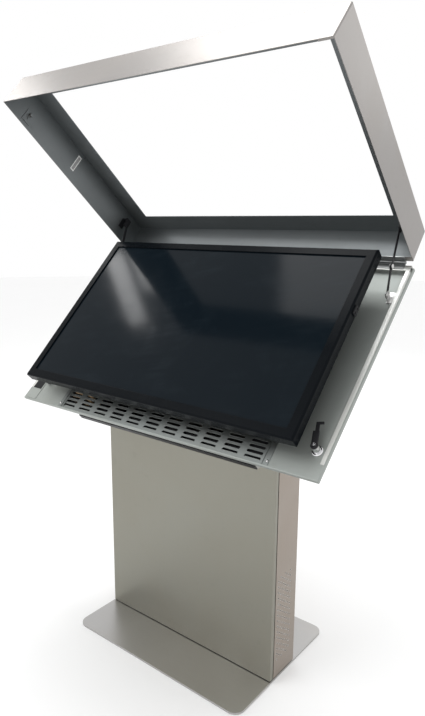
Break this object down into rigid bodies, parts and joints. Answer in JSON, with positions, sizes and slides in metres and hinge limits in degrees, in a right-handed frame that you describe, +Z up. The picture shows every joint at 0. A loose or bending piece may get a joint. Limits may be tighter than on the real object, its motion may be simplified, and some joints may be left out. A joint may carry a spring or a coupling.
{
  "type": "touchscreen kiosk",
  "caption": "Free-standing steel kiosk: a column on a floor plate carries a sloping deck with a large touchscreen under a hinged window lid with folding stays and a cam lock.",
  "frame": {"origin": "centre of the floor plate's underside", "axes": "+X to the right as seen from the front, +Y to the back, +Z up"},
  "size_m": [1.04, 0.547, 1.6545],
  "materials": {
    "base_steel": "fine satin-ground stainless steel",
    "cover_steel": "fine satin-ground stainless steel",
    "shell_steel": "fine satin-ground stainless steel",
    "deck_steel": "fine satin-ground stainless steel",
    "lid_steel": "fine satin-ground stainless steel",
    "grille_steel": "fine satin-ground stainless steel",
    "frame_zinc": "zinc-plated steel, dull",
    "fastener_zinc": "bright zinc-plated steel",
    "black_steel": "black powder coat, satin",
    "chrome": "polished chrome plate",
    "hinge_steel": "plain steel, satin",
    "black_plastic": "fine-grained black moulding",
    "bezel_plastic": "black moulding, semi-gloss",
    "touch_glass": "dark polished glass",
    "panel_black": "dark matt film",
    "case_black": "black painted sheet steel, matt",
    "strip_plastic": "light grey moulding",
    "cable_tan": "tan insulation, satin",
    "label_white": "blank white paper label"
  },
  "bodies": {
    "stand": {"base_plate": "base_steel", "column_frame": "frame_zinc", "frame_bolts": "fastener_zinc", "front_cover": "cover_steel", "column_shell": "shell_steel", "equipment_shelf": "frame_zinc", "computer": "case_black", "power_strip": "strip_plastic", "power_inlet": "black_plastic", "housing": "cover_steel", "housing_edge_strip": "black_steel", "deck_saddles": "frame_zinc", "deck_plate": "deck_steel", "corner_doubler": "deck_steel", "corner_cap": "black_plastic", "side_rails": "deck_steel", "hinge_rail": "deck_steel", "vent_grille": "grille_steel", "grille_duct": "black_steel", "grille_screws": "fastener_zinc", "cable_loom": "cable_tan", "cable_junction": "black_plastic", "deck_clip": "black_steel", "display_bezel": "bezel_plastic", "touch_glass": "touch_glass", "lcd_panel": "panel_black", "display_rear_cover": "case_black", "display_rails": "black_steel", "mount_bolts": "fastener_zinc", "side_control": "black_plastic", "hinge_leaf_fixed": "hinge_steel", "hinge_pin": "hinge_steel", "stay_foot_pin_right": "fastener_zinc", "stay_foot_pin_left": "fastener_zinc", "stay_foot_brackets": "fastener_zinc", "lock_barrel": "chrome", "lock_nut": "chrome"},
    "lid": {"lid_frame": "lid_steel", "lid_label": "label_white", "lid_striker": "lid_steel", "lid_keeper": "lid_steel", "hinge_leaf_lid": "hinge_steel", "stay_head_brackets": "black_steel"},
    "stay_lower_arm_right": {"stay_lower_right": "black_steel", "stay_knee_right": "fastener_zinc"},
    "stay_upper_arm_right": {"stay_upper_right": "black_steel"},
    "stay_lower_arm_left": {"stay_lower_left": "black_steel", "stay_knee_left": "fastener_zinc"},
    "stay_upper_arm_left": {"stay_upper_left": "black_steel"},
    "cam": {"lock_plug": "chrome", "lock_cam": "black_steel", "cam_screw": "chrome"},
    "rocker": {"inlet_rocker": "black_plastic"},
    "power_key": {"power_button": "black_plastic"},
    "source_key": {"source_button": "black_plastic"}
  },
  "joints": [
    {"name": "lid_hinge", "type": "hinge", "parent": "stand", "child": "lid", "pos_m": [0, 0.22218, 1.15093], "axis": [1, 0, 0], "range_deg": [0, 85.64]},
    {"name": "stay_foot_right", "type": "hinge", "parent": "stand", "child": "stay_lower_arm_right", "pos_m": [0.4877, 0.14088, 1.07239], "axis": [1, 0, 0], "range_deg": [0, 130.76]},
    {"name": "stay_knee_right", "type": "hinge", "parent": "stay_lower_arm_right", "child": "stay_upper_arm_right", "pos_m": [0.4902, 0.15534, 1.14395], "axis": [1, 0, 0], "range_deg": [-142.74, 0]},
    {"name": "stay_foot_left", "type": "hinge", "parent": "stand", "child": "stay_lower_arm_left", "pos_m": [-0.4877, 0.14088, 1.07239], "axis": [1, 0, 0], "range_deg": [0, 130.76]},
    {"name": "stay_knee_left", "type": "hinge", "parent": "stay_lower_arm_left", "child": "stay_upper_arm_left", "pos_m": [-0.4902, 0.15534, 1.14395], "axis": [1, 0, 0], "range_deg": [-142.74, 0]},
    {"name": "lock_turn", "type": "hinge", "parent": "stand", "child": "cam", "pos_m": [0.49, -0.20557, 0.77403], "axis": [0, -0.6755, 0.7374], "range_deg": [0, 164]},
    {"name": "rocker_tilt", "type": "hinge", "parent": "stand", "child": "rocker", "pos_m": [0.2, 0.046, 0.0705], "axis": [1, 0, 0], "range_deg": [-12, 0]},
    {"name": "power_press", "type": "slide", "parent": "stand", "child": "power_key", "axis": [-1, 0, 0], "range_m": [0, 0.001], "stiffness_N_per_m": 300, "springref_m": -0.0005},
    {"name": "source_press", "type": "slide", "parent": "stand", "child": "source_key", "axis": [-1, 0, 0], "range_m": [0, 0.001], "stiffness_N_per_m": 300, "springref_m": -0.0005}
  ],
  "couplings": [
    {"joint": "stay_foot_right", "follows": "lid_hinge", "ratio": 1.5152},
    {"joint": "stay_foot_left", "follows": "lid_hinge", "ratio": 1.5152},
    {"joint": "stay_knee_right", "follows": "lid_hinge", "ratio": -1.6551},
    {"joint": "stay_knee_left", "follows": "lid_hinge", "ratio": -1.6551}
  ]
}
